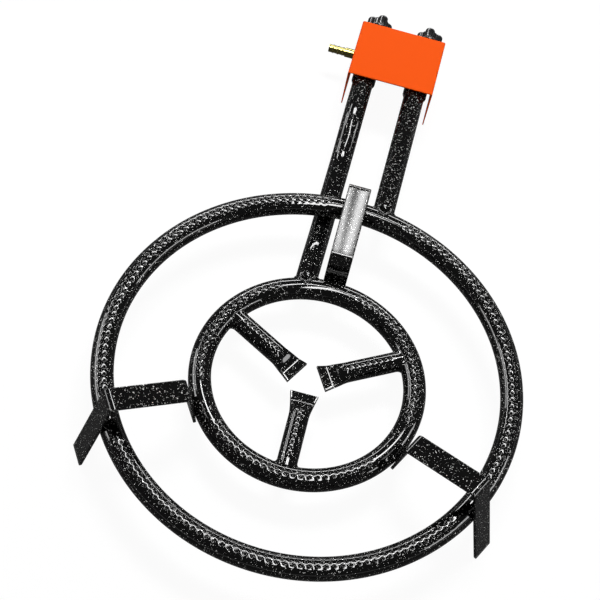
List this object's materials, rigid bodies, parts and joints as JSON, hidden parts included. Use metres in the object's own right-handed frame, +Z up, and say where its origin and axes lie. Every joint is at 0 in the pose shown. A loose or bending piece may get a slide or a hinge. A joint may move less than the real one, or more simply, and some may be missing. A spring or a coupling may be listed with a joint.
{
  "type": "paella burner",
  "caption": "Gas burner for paella pans: two concentric tube rings with pressed burner fingers, bent bar pan supports that are also its legs, feed tubes, taps and an orange heat shield.",
  "frame": {"origin": "on the floor, under the common axis of the two rings", "axes": "+Z up along the ring axis, +Y towards the taps and knobs, +X to the right when the knobs are at the back"},
  "size_m": [0.4002, 0.6378, 0.096],
  "materials": {
    "enamel": "glossy black enamel with fine pale specks",
    "orange_paint": "satin orange powder coat",
    "brass": "turned",
    "steel": "plated",
    "fibre": "matt",
    "knob_plastic": "moulded black"
  },
  "bodies": {
    "burner": {"outer_ring": "enamel", "inner_ring": "enamel", "finger_right": "enamel", "finger_left": "enamel", "finger_front": "enamel", "rear_support": "enamel", "left_support": "enamel", "right_support": "enamel", "outer_feed_tube": "enamel", "inner_feed_tube": "enamel", "outer_tube_sleeve": "enamel", "inner_tube_sleeve": "enamel", "left_tap_body": "brass", "right_tap_body": "brass", "left_tap_spring": "steel", "right_tap_spring": "steel", "left_tap_cover": "brass", "right_tap_cover": "brass", "cover_screws": "steel", "panel_nuts": "steel", "left_injector": "brass", "right_injector": "brass", "gas_manifold": "brass", "manifold_plug": "brass", "plug_washer": "fibre", "hose_barb": "brass", "barb_washer": "fibre", "shield": "orange_paint"},
    "left_tap": {"left_knob": "knob_plastic", "left_spindle": "steel", "left_tap_plug": "brass"},
    "right_tap": {"right_knob": "knob_plastic", "right_spindle": "steel", "right_tap_plug": "brass"}
  },
  "joints": [
    {"name": "left_tap_turn", "type": "hinge", "parent": "burner", "child": "left_tap", "pos_m": [-0.0275, 0.4, 0.054], "axis": [0, 1, 0], "range_deg": [0, 180]},
    {"name": "right_tap_turn", "type": "hinge", "parent": "burner", "child": "right_tap", "pos_m": [0.0275, 0.4, 0.054], "axis": [0, 1, 0], "range_deg": [0, 180]}
  ]
}
